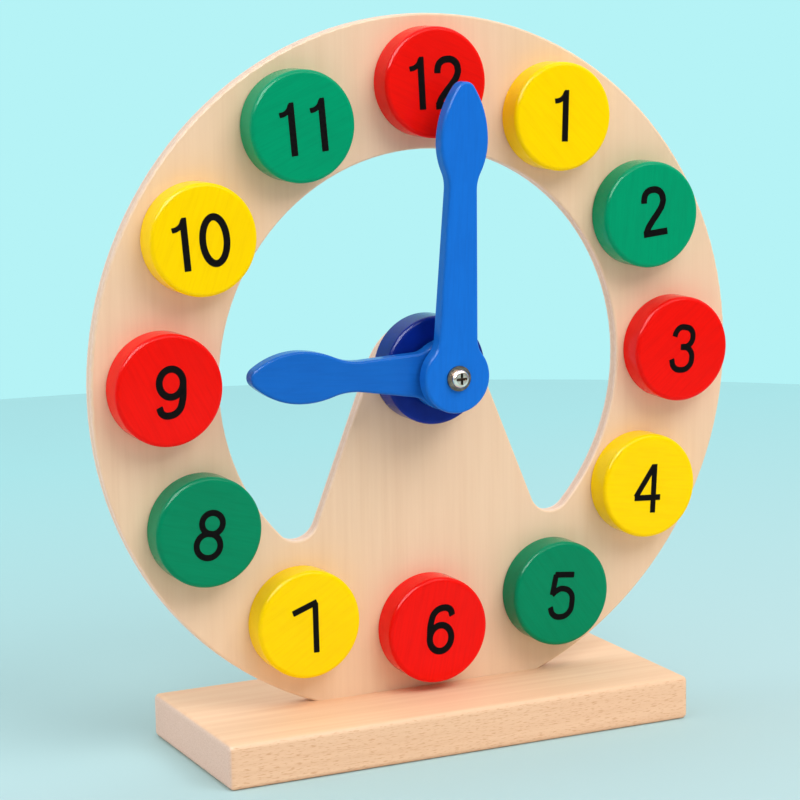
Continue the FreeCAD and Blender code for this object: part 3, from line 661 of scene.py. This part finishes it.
def draw_stroke(kind, points, section):
    """One stroke of a digit, as a closed mesh that lies in the XY plane."""
    bpy.ops.object.select_all(action="DESELECT")
    if kind == "ring":
        middle, radii = points
        bpy.ops.curve.primitive_bezier_circle_add(radius=1.0)
        stroke = bpy.context.object
        stroke.scale = (radii[0] * MM, radii[1] * MM, 1.0)
        stroke.location = (middle[0] * MM, middle[1] * MM, 0.0)
        bpy.ops.object.transform_apply(location=True, rotation=False, scale=True)
        for point in stroke.data.splines[0].bezier_points:
            point.radius = 1.0
    else:
        bpy.ops.curve.primitive_bezier_curve_add()
        stroke = bpy.context.object
        spline = stroke.data.splines[0]
        spline.bezier_points.add(len(points) - len(spline.bezier_points))
        for point, (across, up) in zip(spline.bezier_points, points):
            point.co = (across * MM, up * MM, 0)
            point.handle_left_type = point.handle_right_type = (
                "VECTOR" if kind == "bar" else "AUTO"
            )
    curve = stroke.data
    curve.dimensions = "2D"
    curve.fill_mode = "NONE"
    curve.resolution_u = STROKE_STEPS[kind]
    curve.bevel_mode = "OBJECT"
    curve.bevel_object = section
    curve.use_fill_caps = kind != "ring"
    only(stroke)
    bpy.ops.object.convert(target="MESH")
    bpy.ops.object.mode_set(mode="EDIT")
    bpy.ops.mesh.select_all(action="SELECT")
    bpy.ops.mesh.remove_doubles(threshold=SAME_POINT)
    bpy.ops.mesh.normals_make_consistent(inside=False)
    bpy.ops.object.mode_set(mode="OBJECT")
    return bpy.context.object


def merge(first, other):
    """Unites two closed pieces into one skin."""
    only(first)
    union = first.modifiers.new("Union", "BOOLEAN")
    union.operation = "UNION"
    union.solver = "EXACT"
    union.object = other
    bpy.ops.object.modifier_apply(modifier=union.name)
    bpy.data.objects.remove(other)


def soften_ends(piece, corner):
    """Rounds the outer corners of the strokes, seen from the front."""
    only(piece)
    bpy.ops.object.mode_set(mode="EDIT")
    bpy.ops.mesh.select_all(action="DESELECT")
    bpy.ops.object.mode_set(mode="OBJECT")
    mesh = piece.data
    faces_at = {}
    for face in mesh.polygons:
        for pair in face.edge_keys:
            faces_at.setdefault(pair, []).append(face)
    sharp = False
    for edge in mesh.edges:
        start, stop = (mesh.vertices[place].co for place in edge.vertices)
        run = stop - start
        faces = faces_at.get(edge.key, [])
        upright = abs(run.z) >= 0.9 * run.length
        if not upright or len(faces) != 2:
            continue
        first, second = faces
        convex = (second.center - first.center).dot(first.normal) < 0
        if convex and first.normal.angle(second.normal) > SHARP_ANGLE:
            edge.select = sharp = True
    bpy.ops.object.mode_set(mode="EDIT")
    bpy.ops.mesh.select_mode(type="EDGE")
    if sharp:
        bpy.ops.mesh.bevel(
            offset=corner, segments=CORNER_STEPS, affect="EDGES", clamp_overlap=True
        )
    bpy.ops.object.mode_set(mode="OBJECT")


class CLOCK_OT_print_numerals(bpy.types.Operator):
    """Print the numerals one to twelve on the fronts of the discs"""

    bl_idname = "clock.print_numerals"
    bl_label = "Print the numerals"

    def execute(self, context):
        settings = context.scene.clock_print
        ink = printed_ink(context.scene.clock_paints)
        broad = ink_section("broad_section", settings.stroke, settings.film, settings.key)
        fine = ink_section("fine_section", settings.fine_stroke, settings.film, settings.key)
        slim = ink_section("slim_section", settings.flag, settings.film, settings.key)
        for hour, digits in NUMERALS.items():
            low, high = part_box(f"number_disc_{hour:02d}")
            disc = Vector(((low[0] + high[0]) / 2, low[1], (low[2] + high[2]) / 2))
            to_front = Matrix.Translation(disc) @ Matrix.Rotation(pi / 2, 4, "X")
            full = fine if hour in FINELY_PRINTED else broad
            numeral = None
            for digit, right, up, turn in digits:
                strokes = [
                    draw_stroke(kind, points, slim if kind == "flag" else full)
                    for kind, *points in DIGITS[digit]
                ]
                shape = strokes[0]
                for stroke in strokes[1:]:
                    merge(shape, stroke)
                soften_ends(shape, settings.corner)
                place = Matrix.Translation((right * MM, up * MM, 0))
                shape.data.transform(to_front @ place @ Matrix.Rotation(radians(turn), 4, "Z"))
                if numeral is None:
                    numeral = shape
                else:
                    only(numeral, shape)
                    bpy.ops.object.join()
            if len(numeral.data.polygons) < FEWEST_FACES:
                raise RuntimeError(f"numeral {hour} came out empty")
            numeral.name = numeral.data.name = f"numeral_{hour:02d}"
            numeral.data.materials.clear()
            numeral.data.materials.append(ink)
            only(numeral)
            bpy.ops.object.shade_flat()
            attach(numeral, f"disc_{hour:02d}")
        for section in (broad, fine, slim):
            bpy.data.objects.remove(section)
        return {"FINISHED"}


# Studio, in metres

FLOOR_THICK = 0.02
FLOOR_SIDES = 256
LIT_POINT = Vector((0.0, 0.0, 0.12))
WHITE = (1.0, 1.0, 1.0, 1.0)

# Each lamp's place, width, height and the setting that holds its power
LAMPS = {
    "key_lamp": (Vector((0.4, -0.88, 1.1)), 1.0, 0.7, "key_power"),
    "side_lamp": (Vector((-0.6, 0.13, 0.28)), 0.3, 0.4, "side_power"),
    "rim_lamp": (Vector((-0.6, -0.5, 0.95)), 1.0, 0.8, "rim_power"),
}

CAMERA_PLACE = Vector((-0.38484, -0.79628, 0.26879))
CAMERA_TARGET = Vector((-0.009317, -0.001, 0.114698))
CAMERA_ROLL = radians(-0.970)
LENS_MM = 119.87
SENSOR_MM = 36.0
HALF_PIXEL = 0.5 / 800
NEAREST = 0.01


def seen_directly(tree):
    """One for what the camera sees, itself or in a reflection, and nothing for plain light."""
    path = add_node(tree, "ShaderNodeLightPath", {})
    return combine(tree, "MAXIMUM", path.outputs["Is Camera Ray"], path.outputs["Is Glossy Ray"])


class CLOCK_OT_set_stage(bpy.types.Operator):
    """Set up the floor, the backdrop, the lamps and the camera"""

    bl_idname = "clock.set_stage"
    bl_label = "Set the stage"

    def execute(self, context):
        settings = context.scene.clock_stage
        self.lay_floor(settings)
        self.hang_lamps(settings)
        self.light_world(context, settings)
        self.set_camera(context)
        context.scene.view_settings.view_transform = "Standard"
        return {"FINISHED"}

    def lay_floor(self, settings):
        bpy.ops.object.select_all(action="DESELECT")
        bpy.ops.mesh.primitive_circle_add(
            vertices=FLOOR_SIDES, radius=settings.floor_radius, fill_type="NGON",
            location=(0, 0, 0),
        )
        floor = bpy.context.object
        floor.name = "studio_floor"
        bpy.ops.object.mode_set(mode="EDIT")
        bpy.ops.mesh.select_all(action="SELECT")
        bpy.ops.mesh.extrude_region_move(TRANSFORM_OT_translate={"value": (0, 0, -FLOOR_THICK)})
        bpy.ops.mesh.select_all(action="SELECT")
        bpy.ops.mesh.normals_make_consistent(inside=False)
        bpy.ops.object.mode_set(mode="OBJECT")

        material, tree = start_material("matt_paper_floor")
        distance = along(tree, 1)
        toned = blend_colours(
            tree, ramp(tree, distance, -0.05, 0.5), settings.floor_near, settings.floor_far
        )
        # The light that the floor throws back on the clock is almost white
        end_material(tree, {
            "Base Color": blend_colours(tree, seen_directly(tree), linear("#DEDEDC"), toned),
            "Roughness": 0.9,
            "Specular IOR Level": 0.0,
        })
        floor.data.materials.append(material)

    def hang_lamps(self, settings):
        for name, (place, width, height, power) in LAMPS.items():
            aim = (LIT_POINT - place).to_track_quat("-Z", "Y")
            bpy.ops.object.light_add(type="AREA", location=place, rotation=aim.to_euler())
            lamp = bpy.context.object
            lamp.name = name
            lamp.data.shape = "RECTANGLE"
            lamp.data.size = width
            lamp.data.size_y = height
            lamp.data.energy = getattr(settings, power)
            # The rim lamp only draws bright lines on the rims
            lamp.visible_diffuse = name != "rim_lamp"

    def light_world(self, context, settings):
        world = context.scene.world or bpy.data.worlds.new("studio")
        context.scene.world = world
        world.use_nodes = True
        tree = world.node_tree
        tree.nodes.clear()
        path = add_node(tree, "ShaderNodeLightPath", {})
        behind = ramp(tree, along(tree, 1, "Generated"), -0.1, 0.3)
        upwards = along(tree, 2, "Generated")
        overhead = ramp(tree, upwards, 0.3, 1.0, 0.0, settings.sky_top)
        # The even light that falls on the clock
        level = ramp(tree, behind, 0.0, 1.0, settings.sky_front, settings.sky_back)
        sky = add_node(tree, "ShaderNodeBackground", {
            "Color": WHITE, "Strength": combine(tree, "ADD", level, overhead),
        })
        # What is seen: the backdrop, with a plain room and a white ceiling in reflections
        front = blend_colours(
            tree, path.outputs["Is Camera Ray"], settings.room, settings.backdrop
        )
        surround = blend_colours(tree, behind, front, settings.backdrop)
        backdrop = add_node(tree, "ShaderNodeBackground", {
            "Color": blend_colours(tree, ramp(tree, upwards, 0.3, 0.6), surround, WHITE),
            "Strength": combine(tree, "ADD", overhead, 1.0),
        })
        seen = combine(tree, "MAXIMUM", seen_directly(tree), path.outputs["Is Transmission Ray"])
        chosen = add_node(tree, "ShaderNodeMixShader", {
            0: seen, 1: sky.outputs[0], 2: backdrop.outputs[0],
        })
        add_node(tree, "ShaderNodeOutputWorld", {"Surface": chosen.outputs[0]})

    def set_camera(self, context):
        aim = (CAMERA_TARGET - CAMERA_PLACE).to_track_quat("-Z", "Y").to_matrix().to_4x4()
        turned = aim @ Matrix.Rotation(CAMERA_ROLL, 4, "Z")
        bpy.ops.object.camera_add(location=CAMERA_PLACE, rotation=turned.to_euler())
        camera = bpy.context.object
        camera.name = "studio_camera"
        camera.data.lens = LENS_MM
        camera.data.sensor_width = SENSOR_MM
        camera.data.shift_x = -HALF_PIXEL
        camera.data.shift_y = HALF_PIXEL
        camera.data.clip_start = NEAREST
        context.scene.camera = camera


class CLOCK_PT_panel(bpy.types.Panel):
    """Buttons for each group of pieces"""

    bl_idname = "CLOCK_PT_panel"
    bl_label = "Teaching clock"
    bl_space_type = "VIEW_3D"
    bl_region_type = "UI"
    bl_category = "Teaching clock"

    def draw(self, context):
        for operator in OPERATORS:
            self.layout.operator(operator.bl_idname)
        for name in SETTINGS:
            group = getattr(context.scene, name)
            for key in group.__annotations__:
                self.layout.prop(group, key)


SETTINGS = {
    "clock_woods": ClockWoods,
    "clock_paints": ClockPaints,
    "clock_print": ClockPrint,
    "clock_stage": ClockStage,
}
OPERATORS = (
    CLOCK_OT_set_stage,
    CLOCK_OT_finish_stand,
    CLOCK_OT_paint_discs,
    CLOCK_OT_finish_hands,
    CLOCK_OT_finish_fittings,
    CLOCK_OT_print_numerals,
)


def register():
    for item in (*SETTINGS.values(), *OPERATORS, CLOCK_PT_panel):
        bpy.utils.register_class(item)
    for name, group in SETTINGS.items():
        setattr(bpy.types.Scene, name, PointerProperty(type=group))


def unregister():
    for name in SETTINGS:
        delattr(bpy.types.Scene, name)
    for item in (CLOCK_PT_panel, *reversed(OPERATORS), *reversed(SETTINGS.values())):
        bpy.utils.unregister_class(item)


def main():
    register()
    bpy.ops.clock.set_stage()
    bpy.ops.clock.finish_stand()
    bpy.ops.clock.paint_discs()
    bpy.ops.clock.finish_hands()
    bpy.ops.clock.finish_fittings()
    bpy.ops.clock.print_numerals()


if __name__ == "__main__":
    main()
